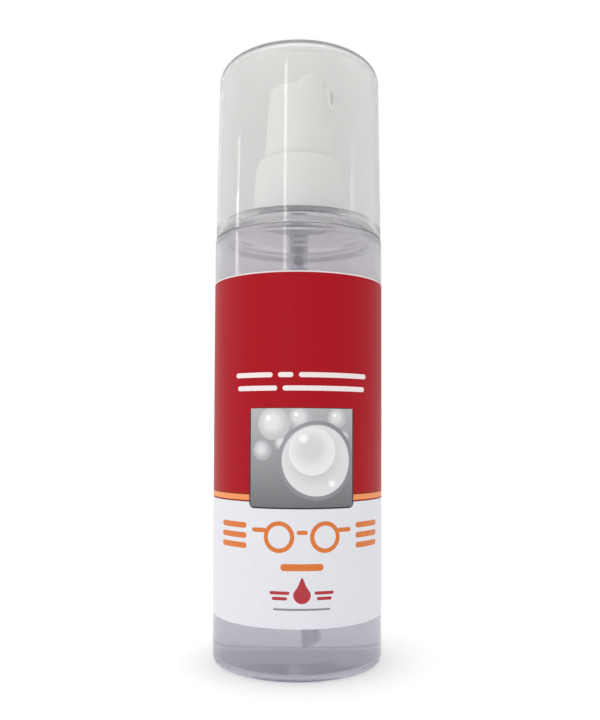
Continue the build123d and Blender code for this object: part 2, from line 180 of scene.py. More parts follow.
# ---------------------------------------------------------------- mesh tools
def rounded(corners, steps=7):
    """Outline points for a list of (radius, height, rounding). A rounding of 0 leaves a sharp corner."""
    points = []
    count = len(corners)
    for i, (radius, height, rounding) in enumerate(corners):
        here = Vector((radius, height))
        if rounding <= 0 or i in (0, count - 1):
            points.append(here)
            continue
        back = Vector(corners[i - 1][:2]) - here
        ahead = Vector(corners[i + 1][:2]) - here
        half = back.angle(ahead) / 2
        reach = min(rounding / math.tan(half), back.length * 0.48, ahead.length * 0.48)
        start = here + back.normalized() * reach
        end = here + ahead.normalized() * reach
        for k in range(steps + 1):
            t = k / steps
            points.append(start * (1 - t) ** 2 + here * 2 * t * (1 - t) + end * t**2)
    return points


def mesh_object(name, points, faces, sharp=35.0):
    """A smooth-shaded mesh object from points in millimetres, with edges over sharp degrees kept crisp."""
    mesh = bpy.data.meshes.new(name)
    mesh.from_pydata([tuple(c * MM for c in p) for p in points], [], faces)
    mesh.validate()
    mesh.shade_smooth()
    mesh.set_sharp_from_angle(angle=math.radians(sharp))
    piece = bpy.data.objects.new(name, mesh)
    bpy.context.scene.collection.objects.link(piece)
    return piece


def lathe(name, outline, closed=False, segments=SEGMENTS):
    """Turns an outline of (radius, height) about Z. A closed one is a ring; an open one ends on the axis."""
    points, rings = [], []
    for radius, height in outline:
        if radius < 1e-6:
            rings.append([len(points)])
            points.append((0, 0, height))
            continue
        first = len(points)
        for k in range(segments):
            angle = TURN * k / segments
            points.append((radius * math.cos(angle), radius * math.sin(angle), height))
        rings.append(list(range(first, first + segments)))
    pairs = list(zip(rings, rings[1:]))
    if closed:
        pairs.append((rings[-1], rings[0]))
    faces = []
    for lower, upper in pairs:
        for k in range(segments):
            n = (k + 1) % segments
            if len(lower) == 1 and len(upper) == 1:
                continue
            if len(lower) == 1:
                faces.append((lower[0], upper[n], upper[k]))
            elif len(upper) == 1:
                faces.append((lower[k], lower[n], upper[0]))
            else:
                faces.append((lower[k], lower[n], upper[n], upper[k]))
    return mesh_object(name, points, faces)


def rings_to_faces(first, rings, count):
    """Quads between rings of points that are numbered from first."""
    faces = []
    for i in range(rings - 1):
        for k in range(count):
            n = (k + 1) % count
            a = first + i * count
            b = a + count
            faces.append((a + k, a + n, b + n, b + k))
    return faces


def sweep(name, path, section, frames):
    """Carries a closed section of (across, up) along path, with its two axes from frames."""
    points = []
    for place, (across, up) in zip(path, frames):
        points += [tuple(place + across * u + up * v) for u, v in section]
    size = len(section)
    faces = rings_to_faces(0, len(path), size)
    faces.append(tuple(range(size - 1, -1, -1)))
    faces.append(tuple((len(path) - 1) * size + k for k in range(size)))
    return mesh_object(name, points, faces)


def helix_frames(path):
    """Radial and upward axes for a path that winds about Z."""
    return [(Vector((p.x, p.y, 0)).normalized(), Vector((0, 0, 1))) for p in path]


def helix(radius, rises, steps_per_turn=48):
    """Points that wind about Z. rises lists (turns, rise in each turn), from height 0 up."""
    path, angle, height = [Vector((radius, 0, 0))], 0.0, 0.0
    for turns, pitch in rises:
        for _ in range(round(turns * steps_per_turn)):
            angle += TURN / steps_per_turn
            height += pitch / steps_per_turn
            path.append(Vector((radius * math.cos(angle), radius * math.sin(angle), height)))
    return path


def circle(radius, count):
    """A round section for sweep."""
    angles = [TURN * k / count for k in range(count)]
    return [(radius * math.cos(angle), radius * math.sin(angle)) for angle in angles]


def place(piece, body, material, slot, *nodes):
    """Gives a piece its material and its body, and hides the CAD nodes that it stands for. The slot argument
    is not used.
    """
    piece.data.materials.append(material)
    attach(piece, body)
    if nodes:
        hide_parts(*nodes)
    return piece


# ---------------------------------------------------------------- material tools
def colour(code, alpha=1.0):
    """An sRGB hex colour as linear light."""
    parts = [int(code[i : i + 2], 16) / 255 for i in (1, 3, 5)]
    return tuple(c / 12.92 if c <= 0.04045 else ((c + 0.055) / 1.055) ** 2.4 for c in parts) + (alpha,)


def new_material(name):
    """An empty node material and its tree."""
    material = bpy.data.materials.new(name)
    material.use_nodes = True
    material.node_tree.nodes.clear()
    return material, material.node_tree


def add(tree, kind, inputs=None, **settings):
    """Adds one node with its settings, its values and its links."""
    node = tree.nodes.new("ShaderNode" + kind)
    for key, value in settings.items():
        setattr(node, key, value)
    for key, value in (inputs or {}).items():
        if isinstance(value, bpy.types.NodeSocket):
            tree.links.new(value, node.inputs[key])
        else:
            node.inputs[key].default_value = value
    return node


def finish_surface(tree, shader):
    add(tree, "OutputMaterial", {"Surface": shader})


def lamps_through(tree, shader, tint):
    """A clear moulding's shader, with lamps let through it so that what it holds is lit."""
    path = add(tree, "LightPath")
    clear = add(tree, "BsdfTransparent", {"Color": tint})
    either = add(
        tree,
        "Math",
        {0: path.outputs["Is Shadow Ray"], 1: path.outputs["Is Diffuse Ray"]},
        operation="MAXIMUM",
    )
    return add(tree, "MixShader", {0: either.outputs[0], 1: shader, 2: clear.outputs[0]}).outputs[0]


# Blow-moulded PET: clear, glossy, with a slight mist and faint upright flow waves that bend what is
# behind it.
def blown_pet():
    material, tree = new_material("clear_blown_pet")
    place_on = add(tree, "TexCoord").outputs["Object"]
    stretched = add(tree, "Mapping", {"Vector": place_on, "Scale": (220.0, 220.0, 25.0)})
    waves = add(tree, "TexNoise", {"Vector": stretched.outputs[0], "Scale": 1.0, "Detail": 2.0})
    bump = add(tree, "Bump", {"Height": waves.outputs["Fac"], "Strength": 0.05, "Distance": 0.0004})
    gloss = add(tree, "MapRange", {"Value": waves.outputs["Fac"], "To Min": 0.01, "To Max": 0.045})
    shader = add(
        tree,
        "BsdfPrincipled",
        {
            "Base Color": colour("#F1EEF0"),
            "IOR": 1.57,
            "Transmission Weight": 1.0,
            "Roughness": gloss.outputs[0],
            "Normal": bump.outputs[0],
        },
    )
    haze = add(tree, "BsdfTranslucent", {"Color": colour("#E3E1E6")})
    white = add(tree, "BsdfDiffuse", {"Color": colour("#E3E1E6")})
    bloom = add(tree, "MixShader", {0: 0.5, 1: haze.outputs[0], 2: white.outputs[0]})
    misted = add(tree, "MixShader", {0: 0.20, 1: shader.outputs[0], 2: bloom.outputs[0]})
    finish_surface(tree, lamps_through(tree, misted.outputs[0], colour("#F4F4F7")))
    return material


# Injection-moulded clear PP: slightly milky, so that the pump behind it loses a little contrast.
def clear_pp():
    material, tree = new_material("clear_moulded_pp")
    place_on = add(tree, "TexCoord").outputs["Object"]
    haze = add(tree, "TexNoise", {"Vector": place_on, "Scale": 90.0, "Detail": 3.0})
    gloss = add(tree, "MapRange", {"Value": haze.outputs["Fac"], "To Min": 0.02, "To Max": 0.07})
    bump = add(tree, "Bump", {"Height": haze.outputs["Fac"], "Strength": 0.04, "Distance": 0.0003})
    clear = add(
        tree,
        "BsdfPrincipled",
        {
            "Base Color": colour("#F7F7F6"),
            "IOR": 1.49,
            "Transmission Weight": 1.0,
            "Roughness": gloss.outputs[0],
            "Normal": bump.outputs[0],
        },
    )
    milk = add(tree, "BsdfTranslucent", {"Color": colour("#F4F4F2"), "Normal": bump.outputs[0]})
    milky = add(tree, "MixShader", {0: 0.06, 1: clear.outputs[0], 2: milk.outputs[0]})
    finish_surface(tree, lamps_through(tree, milky.outputs[0], colour("#F7F7F6")))
    return material


# Water-thin cleaning liquid: clear, with water's refraction.
def cleaner_liquid():
    material, tree = new_material("cleaner_liquid")
    place_on = add(tree, "TexCoord").outputs["Object"]
    ripple = add(tree, "TexNoise", {"Vector": place_on, "Scale": 60.0, "Detail": 1.0})
    gloss = add(tree, "MapRange", {"Value": ripple.outputs["Fac"], "To Min": 0.0, "To Max": 0.012})
    shader = add(
        tree,
        "BsdfPrincipled",
        {
            "Base Color": colour("#E4E7F0"),
            "IOR": 1.36,
            "Transmission Weight": 1.0,
            "Roughness": gloss.outputs[0],
        },
    )
    finish_surface(tree, lamps_through(tree, shader.outputs[0], colour("#F3F3F7")))
    return material


# White injection-moulded PP: satin gloss, a fine spark-eroded grain and a little light let in.
def white_pp():
    material, tree = new_material("white_moulded_pp")
    place_on = add(tree, "TexCoord").outputs["Object"]
    # grain about 0.25 mm across
    grain = add(tree, "TexNoise", {"Vector": place_on, "Scale": 4000.0, "Detail": 2.0})
    cloud = add(tree, "TexNoise", {"Vector": place_on, "Scale": 160.0, "Detail": 3.0})
    bump = add(tree, "Bump", {"Height": grain.outputs["Fac"], "Strength": 0.08, "Distance": 0.00005})
    gloss = add(tree, "MapRange", {"Value": cloud.outputs["Fac"], "To Min": 0.28, "To Max": 0.40})
    tone = add(
        tree,
        "Mix",
        {0: cloud.outputs["Fac"], 6: colour("#F3F3F2"), 7: colour("#F9F9F8")},
        data_type="RGBA",
    )
    shader = add(
        tree,
        "BsdfPrincipled",
        {
            "Base Color": tone.outputs[2],
            "IOR": 1.49,
            "Roughness": gloss.outputs[0],
            "Normal": bump.outputs[0],
            "Subsurface Weight": 0.25,
            "Subsurface Scale": 0.0015,
            "Subsurface Radius": (1.0, 0.9, 0.8),
        },
    )
    finish_surface(tree, shader.outputs[0])
    return material


def mottled_moulding(name, spacing, detail, dark, light, least_rough, most_rough, ior):
    """An opaque moulding with a faint mottle in tone and gloss, spacing being millimetres across."""
    material, tree = new_material(name)
    place_on = add(tree, "TexCoord").outputs["Object"]
    mottle = add(tree, "TexNoise", {"Vector": place_on, "Scale": 1 / (spacing * MM), "Detail": detail})
    tone = add(
        tree,
        "Mix",
        {0: mottle.outputs["Fac"], 6: colour(dark), 7: colour(light)},
        data_type="RGBA",
    )
    gloss = add(
        tree, "MapRange", {"Value": mottle.outputs["Fac"], "To Min": least_rough, "To Max": most_rough}
    )
    shader = add(
        tree,
        "BsdfPrincipled",
        {"Base Color": tone.outputs[2], "IOR": ior, "Roughness": gloss.outputs[0]},
    )
    finish_surface(tree, shader.outputs[0])
    return material


def natural_plastic(name, tint, least_rough, most_rough, veil, thin):
    """An uncoloured PP or PE moulding: see-through but cloudy, and clearer where its wall is thin."""
    material, tree = new_material(name)
    place_on = add(tree, "TexCoord").outputs["Object"]
    cloud = add(tree, "TexNoise", {"Vector": place_on, "Scale": 500.0, "Detail": 3.0})
    gloss = add(
        tree, "MapRange", {"Value": cloud.outputs["Fac"], "To Min": least_rough, "To Max": most_rough}
    )
    clear = add(
        tree,
        "BsdfPrincipled",
        {
            "Base Color": colour(tint),
            "IOR": 1.5,
            "Transmission Weight": 1.0,
            "Roughness": gloss.outputs[0],
        },
    )
    milk = add(tree, "BsdfTranslucent", {"Color": colour(tint)})
    milky = add(tree, "MixShader", {0: veil, 1: clear.outputs[0], 2: milk.outputs[0]})
    straight = add(tree, "BsdfTransparent", {"Color": colour(tint)})
    wall = add(tree, "MixShader", {0: thin, 1: milky.outputs[0], 2: straight.outputs[0]})
    finish_surface(tree, lamps_through(tree, wall.outputs[0], colour(tint)))
    return material


# Stainless steel, drawn or rolled: bright, with fine marks that run round the piece.
def stainless():
    material, tree = new_material("drawn_stainless")
    place_on = add(tree, "TexCoord").outputs["Object"]
    stretched = add(tree, "Mapping", {"Vector": place_on, "Scale": (1500.0, 1500.0, 9000.0)})
    marks = add(tree, "TexNoise", {"Vector": stretched.outputs[0], "Scale": 1.0, "Detail": 2.0})
    gloss = add(tree, "MapRange", {"Value": marks.outputs["Fac"], "To Min": 0.12, "To Max": 0.30})
    shader = add(
        tree,
        "BsdfPrincipled",
        {"Base Color": colour("#77777B"), "Metallic": 1.0, "Roughness": gloss.outputs[0]},
    )
    finish_surface(tree, shader.outputs[0])
    return material


# Heights of the printed bands, in millimetres.
stripe_low, stripe_high = 39.0, 40.2
stripe_edge = 0.35
film_edge = 0.3


def above(tree, height_mm, level, softness=0.04):
    """1 above a level and 0 below it, with an edge as soft as a printed one."""
    return add(
        tree,
        "MapRange",
        {"Value": height_mm, "From Min": level - softness, "From Max": level + softness},
    ).outputs[0]


# Printed and varnished PP film: red above white, an orange stripe between, faint print mottle.
def printed_film():
    material, tree = new_material("printed_film_label")
    place_on = add(tree, "TexCoord").outputs["Object"]
    height = add(tree, "SeparateXYZ", {0: place_on}).outputs["Z"]
    height_mm = add(tree, "Math", {0: height, 1: 1000.0}, operation="MULTIPLY").outputs[0]
    mottle = add(tree, "TexNoise", {"Vector": place_on, "Scale": 700.0, "Detail": 4.0})
    red = add(
        tree,
        "Mix",
        {0: mottle.outputs["Fac"], 6: colour("#A60D1B"), 7: colour("#AE1220")},
        data_type="RGBA",
    ).outputs[2]
    white = add(
        tree,
        "Mix",
        {0: mottle.outputs["Fac"], 6: colour("#E2E3E9"), 7: colour("#E9EAEF")},
        data_type="RGBA",
    ).outputs[2]
    shade = white
    bands = (
        (stripe_low - stripe_edge, colour("#8A2A12")),
        (stripe_low, colour("#F59A62")),
        (stripe_high, colour("#8A2A12")),
        (stripe_high + stripe_edge, red),
        (label_top - film_edge, colour("#EDE3E4")),
    )
    for level, ink in bands:
        mask = above(tree, height_mm, level)
        shade = add(tree, "Mix", {0: mask, 6: shade, 7: ink}, data_type="RGBA").outputs[2]
    ripple = add(tree, "TexNoise", {"Vector": place_on, "Scale": 120.0, "Detail": 2.0})
    bump = add(tree, "Bump", {"Height": ripple.outputs["Fac"], "Strength": 0.06, "Distance": 0.0003})
    gloss = add(tree, "MapRange", {"Value": mottle.outputs["Fac"], "To Min": 0.36, "To Max": 0.46})
    shader = add(
        tree,
        "BsdfPrincipled",
        {
            "Base Color": shade,
            "IOR": 1.49,
            "Roughness": gloss.outputs[0],
            "Normal": bump.outputs[0],
            "Specular IOR Level": 0.12,
        },
    )
    finish_surface(tree, shader.outputs[0])
    return material


def ink_surface(tree, speckle, shade, weakest, strongest, least_rough, most_rough):
    """Finishes an ink: its strength and its gloss both vary with the speckle."""
    strength = add(tree, "MapRange", {"Value": speckle, "To Min": weakest, "To Max": strongest})
    tone = add(tree, "HueSaturation", {"Color": shade, "Value": strength.outputs[0]})
    gloss = add(tree, "MapRange", {"Value": speckle, "To Min": least_rough, "To Max": most_rough})
    shader = add(
        tree,
        "BsdfPrincipled",
        {"Base Color": tone.outputs[0], "IOR": 1.49, "Roughness": gloss.outputs[0]},
    )
    finish_surface(tree, shader.outputs[0])


def ink(name, code):
    """One printed ink: flat tone with the faint speckle of a screen print."""
    material, tree = new_material(name)
    place_on = add(tree, "TexCoord").outputs["Object"]
    speckle = add(tree, "TexNoise", {"Vector": place_on, "Scale": 2500.0, "Detail": 2.0})
    ink_surface(tree, speckle.outputs["Fac"], colour(code), 0.9, 1.08, 0.22, 0.34)
    return material


pet = blown_pet()
cap_plastic = clear_pp()
liquid = cleaner_liquid()
white_plastic = white_pp()
# Black insert whose darkness is painted shade, standing in for the shade inside the nozzle's recess, with a
# satin edge.
shade_black_pp = mottled_moulding("black_pp_painted_recess_shade", 0.4, 2.0, "#17171A", "#26262A", 0.32, 0.46, 1.49)
# Soft sealing material: off-white and matt.
seal = mottled_moulding("soft_pe_seal", 1 / 1.2, 3.0, "#CFCFC9", "#E2E2DC", 0.55, 0.75, 1.5)
natural_pp = natural_plastic("natural_moulded_pp", "#F1F2F4", 0.03, 0.10, 0.08, 0.62)
natural_pe = natural_plastic("extruded_pe_tube", "#EDEFF2", 0.10, 0.20, 0.20, 0.35)
steel = stainless()
film = printed_film()
white_ink = ink("white_ink", "#F3E9E8")
orange_ink = ink("orange_ink", "#DC7424")
red_ink = ink("red_ink", "#B3202C")
grey_ink = ink("grey_ink", "#8C8C92")
black_ink = ink("black_ink", "#1B1B1E")


# ---------------------------------------------------------------- bottle and contents
def bottle_outline():
    """Outside from the base up to the neck's lip, then the inside back down."""
    inside = bottle_radius - bottle_wall
    ring_inside = snap_ring_radius - bottle_wall
    bead = body_height + snap_bead_rise
    return rounded(
        [
            (0, push_up, 0),
            (push_up_reach, push_up, push_up_round),
            (standing_ring, 0, 0.5),
            (bottle_radius, 0, 3.0),
            (bottle_radius, body_height, 1.2),
            (snap_ring_radius, body_height, 0.15),
            (snap_ring_radius, bead - snap_bead, 0.1),
            (snap_ring_radius + snap_bead, bead, 0.3),
            (snap_ring_radius, bead + snap_bead, 0.1),
            (snap_ring_radius, snap_ring_top, 0.8),
            (neck_radius, neck_root, 0.6),
            (neck_radius, neck_top, 0.2),
            (neck_bore, neck_top, 0.2),
            (neck_bore, neck_root - bottle_wall, 0.8),
            (ring_inside, snap_ring_top - bottle_wall, 0.8),
            (ring_inside, body_height - bottle_wall, 0.8),
            (inside, body_height - bottle_wall, 0.8),
            (inside, bottle_wall, 1.8),
            (standing_ring, bottle_wall, 1.0),
            (push_up_reach, push_up + bottle_wall, push_up_round),
            (0, push_up + bottle_wall, 0),
        ]
    )


def thread(name, root, depth, bottom, turns):
    """A thread's helical rib, sunk a little into its root. A depth below 0 points it inwards."""
    path = [p + Vector((0, 0, bottom)) for p in helix(root, [(turns, thread_pitch)], 72)]
    section = [(-0.1, -0.75), (depth, -0.3), (depth, 0.3), (-0.1, 0.75)]
    return sweep(name, path, section, helix_frames(path))


place(lathe("bottle_shell", bottle_outline()), "bottle_body", pet, "clear_bottle", "bottle")
neck_thread = thread("neck_thread", neck_radius, thread_depth, neck_root + thread_start, 1.0)
place(neck_thread, "bottle_body", pet, "clear_bottle")


def tube_points(top, bottom, steps=40):
    """The dip tube's centre line: straight down, then one wide bend towards +X."""
    bend = tube_top - tube_straight
    drop = bend - tube_bottom
    bend_radius = (tube_reach**2 + drop**2) / (2 * tube_reach)
    points = []
    for k in range(steps + 1):
        z = top + (bottom - top) * k / steps
        below = max(bend - z, 0.0)
        points.append(Vector((bend_radius - math.sqrt(bend_radius**2 - below**2), 0, z)))
    return points


def tube_rings(points, radius, count=48):
    """Rings of points round the dip tube's line."""
    rings = []
    for i, p in enumerate(points):
        along = (points[min(i + 1, len(points) - 1)] - points[max(i - 1, 0)]).normalized()
        side = along.cross(Vector((0, 1, 0))).normalized()
        front = along.cross(side)
        rings.append(
            [
                p + side * radius * math.cos(TURN * k / count) + front * radius * math.sin(TURN * k / count)
                for k in range(count)
            ]
        )
    return rings


def dip_tube():
    """A tube with a real bore, and its lower end cut at a slant."""
    count = 48
    tube_cut = 0.6
    line = tube_points(tube_top - 0.02, tube_bottom + 2.0)
    outside = tube_rings(line, tube_radius)
    inside = tube_rings(line, tube_bore)
    for rings in (outside, inside):
        for p in rings[-1]:
            p.z -= (p.x - tube_reach) * math.tan(tube_slant) * -1 + tube_cut
    points = [tuple(p) for ring in outside for p in ring]
    faces = rings_to_faces(0, len(outside), count)
    second = len(points)
    points += [tuple(p) for ring in inside for p in ring]
    faces += [tuple(reversed(f)) for f in rings_to_faces(second, len(inside), count)]
    last = (len(outside) - 1) * count
    for k in range(count):
        n = (k + 1) % count
        faces.append((k, second + k, second + n, n))
        faces.append((last + k, last + n, second + last + n, second + last + k))
    return mesh_object("dip_tube_drawn", points, faces)


place(dip_tube(), "pump_unit", natural_pe, "tube_plastic", "dip_tube")


def liquid_body():
    """The liquid laps into the bottle's wall, so that no film of air shows between them. Its top has
    the small rise of a wetted edge."""
    lap = 0.3
    radius = bottle_radius - bottle_wall + lap
    floor = bottle_wall - lap
    return rounded(
        [
            (0, push_up + floor, 0),
            (push_up_reach, push_up + floor, push_up_round),
            (standing_ring, floor, 1.0),
            (radius, floor, 2.0),
            (radius, fill_level, 0),
            (radius - 0.3, fill_level - 0.08, 0.2),
            (radius - 1.2, fill_level - 0.2, 0.6),
            (0, fill_level - 0.2, 0),
        ]
    )


place(lathe("liquid", liquid_body()), "bottle_body", liquid, "liquid", "cleaning_fluid")


# ---------------------------------------------------------------- label and its print
ink_room = 0.03
label_edge = 0.03
label_half_gap = 1.4


def label_shell():
    """A film with a real thickness, open along a narrow gap at the back."""
    inner, outer = bottle_radius + 0.02, label_radius - ink_room
    half_gap = label_half_gap / bottle_radius
    section = [
        (inner, label_top),
        (outer, label_top - label_edge),
        (outer, label_bottom + label_edge),
        (inner, label_bottom),
    ]
    count = 240
    turn = (TURN - 2 * half_gap) / count
    angles = [math.pi / 2 + half_gap + turn * k for k in range(count + 1)]
    frames = [(Vector((math.cos(angle), math.sin(angle), 0)), Vector((0, 0, 1))) for angle in angles]
    return sweep("label_film", [Vector()] * len(frames), section, frames)


place(label_shell(), "bottle_body", film, "printed_label", "wrap_label")

print_radius = label_radius - ink_room + 0.008
print_turn = math.radians(3.0)


def on_label(across, up, lift=0.0):
    """A point printed on the film: across and up in millimetres, from the print's middle line."""
    angle = across / label_radius + print_turn - math.pi / 2
    radius = print_radius + lift
    return (radius * math.cos(angle), radius * math.sin(angle), up)


def strip(centre_across, centre_up, width, height, rounding):
    """A rounded bar as upright slices, so that it follows the film's curve."""
    points, faces = [], []
    count = max(8, int(width / 0.25))
    rounding = min(rounding, width / 2, height / 2)
    for k in range(count + 1):
        t = -math.cos(math.pi * k / count) * width / 2
        inset = max(0.0, abs(t) - (width / 2 - rounding))
        half = height / 2 - rounding + math.sqrt(max(rounding**2 - inset**2, 0.0))
        points.append(on_label(centre_across + t, centre_up - half))
        points.append(on_label(centre_across + t, centre_up + half))
    for k in range(count):
        faces.append((2 * k, 2 * k + 2, 2 * k + 3, 2 * k + 1))
    return points, faces


def ring(centre_across, centre_up, radius, width, count=64):
    """A printed ring."""
    points, faces = [], []
    for k in range(count):
        a = TURN * k / count
        for r in (radius - width, radius):
            points.append(on_label(centre_across + r * math.cos(a), centre_up + r * math.sin(a)))
    for k in range(count):
        n = (k + 1) % count
        faces.append((2 * k, 2 * k + 1, 2 * n + 1, 2 * n))
    return points, faces


def drop(centre_across, centre_up, radius, count=48, rings=5):
    """A printed drop: round below, pointed above. Its rings keep it on the label's curve."""
    points, faces = [on_label(centre_across, centre_up)], []
    for ring in range(1, rings + 1):
        reach = radius * ring / rings
        for k in range(count):
            a = TURN * k / count - math.pi / 2
            point = 1.0 + 0.95 * max(math.sin(a), 0.0) ** 6
            narrow = 1.0 - 0.35 * max(math.sin(a), 0.0) ** 2
            points.append(
                on_label(
                    centre_across + reach * narrow * math.cos(a),
                    centre_up + reach * point * math.sin(a),
                )
            )
    for k in range(count):
        faces.append((0, 1 + k, 1 + (k + 1) % count))
    for ring in range(rings - 1):
        inner, outer = 1 + ring * count, 1 + (ring + 1) * count
        for k in range(count):
            after = (k + 1) % count
            faces.append((inner + k, outer + k, outer + after, inner + after))
    return points, faces


def printed(name, material, shapes):
    """Joins printed shapes into one piece of ink."""
    points, faces = [], []
    for shape_points, shape_faces in shapes:
        first = len(points)
        points += shape_points
        faces += [tuple(first + i for i in face) for face in shape_faces]
    return place(mesh_object(name, points, faces), "bottle_body", material, "printed_label")


def dash_row(up, lengths, height, gap):
    """A row of plain dashes, centred, in place of a line of words."""
    total = sum(lengths) + gap * (len(lengths) - 1)
    left = -total / 2
    shapes = []
    for length in lengths:
        shapes.append(strip(left + length / 2, up, length, height, height / 2))
        left += length + gap
    return shapes


printed(
    "print_dashes",
    white_ink,
    dash_row(66.35, (9.5, 3.4, 17.0), 1.1, 1.2) + dash_row(63.45, (10.0, 20.0), 1.1, 1.2),
)

# A plain pair of spectacles between dashes fills the place of the large word.
glasses_up = 31.3
lens_radius = 3.4
lens_apart = 5.1
printed(
    "print_spectacles",
    orange_ink,
    [
        ring(-lens_apart, glasses_up, lens_radius, 0.95),
        ring(lens_apart, glasses_up, lens_radius, 0.95),
        strip(0, glasses_up + 1.0, 2.4, 0.9, 0.45),
        strip(-lens_apart - lens_radius - 1.2, glasses_up + 1.4, 3.4, 0.95, 0.45),
        strip(lens_apart + lens_radius + 1.2, glasses_up + 1.4, 3.4, 0.95, 0.45),
    ]
    + [
        strip(side * 16.9, glasses_up + row * 2.2, 8.0, 1.25, 0.6)
        for side in (-1, 1)
        for row in (-1, 0, 1)
    ],
)
printed("print_small_bar", orange_ink, [strip(0, 24.85, 9.4, 1.5, 0.7)])
printed(
    "print_drop",
    red_ink,
    [drop(0, 19.0, 1.9)]
    + [
        strip(side * 4.9, 19.4 - row * 1.2, 4.4 - row, 0.7, 0.35)
        for side in (-1, 1)
        for row in (0, 1)
    ],
)
printed("print_fine_bar", grey_ink, [strip(0, 15.9, 12.5, 0.45, 0.2)])

# The picture panel: black edge, then a grey picture of a lens among bubbles.
panel_up = (37.3 + 59.2) / 2
panel_width, panel_height = 24.4, 21.9
printed("print_panel_edge", black_ink, [strip(0, panel_up, panel_width, panel_height, 1.2)])


def spot(tree, coords, across, up, radius, softness):
    """1 inside a round spot on the panel, fading to 0 at its edge."""
    gap = add(tree, "VectorMath", {0: coords, 1: (across, up, 0.0)}, operation="DISTANCE")
    return add(
        tree,
        "MapRange",
        {
            "Value": gap.outputs["Value"],
            "From Min": radius + softness,
            "From Max": radius - softness,
        },
        interpolation_type="SMOOTHSTEP",
    ).outputs[0]


def panel_picture():
    """Half-tone print in greys: a large round lens in front, bubbles behind it and bright rims."""
    material, tree = new_material("panel_half_tone_ink")
    coords = add(tree, "UVMap", uv_map="print").outputs[0]
    split = add(tree, "SeparateXYZ", {0: coords})
    backdrop = add(
        tree,
        "MapRange",
        {"Value": split.outputs["Y"], "From Min": -11.0, "From Max": 11.0, "To Min": 0.0, "To Max": 1.0},
    )
    shade = add(
        tree,
        "Mix",
        {0: backdrop.outputs[0], 6: colour("#6E6E72"), 7: colour("#B9B9BC")},
        data_type="RGBA",
    ).outputs[2]
    # across, up, radius, rim and middle of each round
    rounds = [
        (-6.4, 7.4, 3.6, "#C9C9CC", "#E9E9EB"),
        (-0.6, 8.6, 2.6, "#BEBEC2", "#E4E4E6"),
        (-9.0, 1.6, 2.2, "#B4B4B8", "#DEDEE1"),
        (7.8, 8.6, 2.2, "#C4C4C7", "#E6E6E8"),
        (-4.6, 3.2, 1.5, "#BDBDC0", "#E2E2E4"),
        (9.6, 4.6, 1.2, "#C2C2C5", "#E0E0E2"),
        (3.2, -0.6, 8.6, "#8D8D92", "#E8E8EA"),
        (3.2, -0.6, 7.7, "#E4E4E6", "#C6C6CA"),
        (2.2, 1.4, 5.2, "#EFEFF1", "#DADADD"),
    ]
    for across, up, radius, rim, middle in rounds:
        edge = spot(tree, coords, across, up, radius, 0.12)
        core = spot(tree, coords, across - 0.1 * radius, up + 0.1 * radius, radius * 0.62, radius * 0.35)
        fill = add(tree, "Mix", {0: core, 6: colour(rim), 7: colour(middle)}, data_type="RGBA").outputs[2]
        shade = add(tree, "Mix", {0: edge, 6: shade, 7: fill}, data_type="RGBA").outputs[2]
    glints = ((-7.6, 8.6, 0.6), (-1.4, 9.4, 0.45), (0.2, 4.2, 0.9), (7.2, 9.3, 0.4), (6.6, -5.6, 0.7))
    for across, up, radius in glints:
        glint = spot(tree, coords, across, up, radius, radius * 0.5)
        shade = add(tree, "Mix", {0: glint, 6: shade, 7: colour("#FFFFFF")}, data_type="RGBA").outputs[2]
    dots = add(tree, "TexNoise", {"Vector": coords, "Scale": 5.0, "Detail": 3.0})
    ink_surface(tree, dots.outputs["Fac"], shade, 0.8, 1.15, 0.2, 0.32)
    return material


def picture_patch():
    """The panel's picture, with a map that gives each point its place in millimetres."""
    width, height = panel_width - 0.7, panel_height - 0.5
    columns, rows = 96, 24
    picture_lift = 0.01
    points, faces = [], []
    for j in range(rows + 1):
        for i in range(columns + 1):
            u = (i / columns - 0.5) * width
            v = (j / rows - 0.5) * height
            points.append(on_label(u, panel_up + 0.1 + v, picture_lift))
    for j in range(rows):
        for i in range(columns):
            a = j * (columns + 1) + i
            faces.append((a, a + 1, a + columns + 2, a + columns + 1))
    piece = mesh_object("print_picture", points, faces)
    layer = piece.data.uv_layers.new(name="print")
    for loop in piece.data.loops:
        i, j = loop.vertex_index % (columns + 1), loop.vertex_index // (columns + 1)
        layer.data[loop.index].uv = ((i / columns - 0.5) * width, (j / rows - 0.5) * height)
    return piece


place(picture_patch(), "bottle_body", panel_picture(), "printed_label")


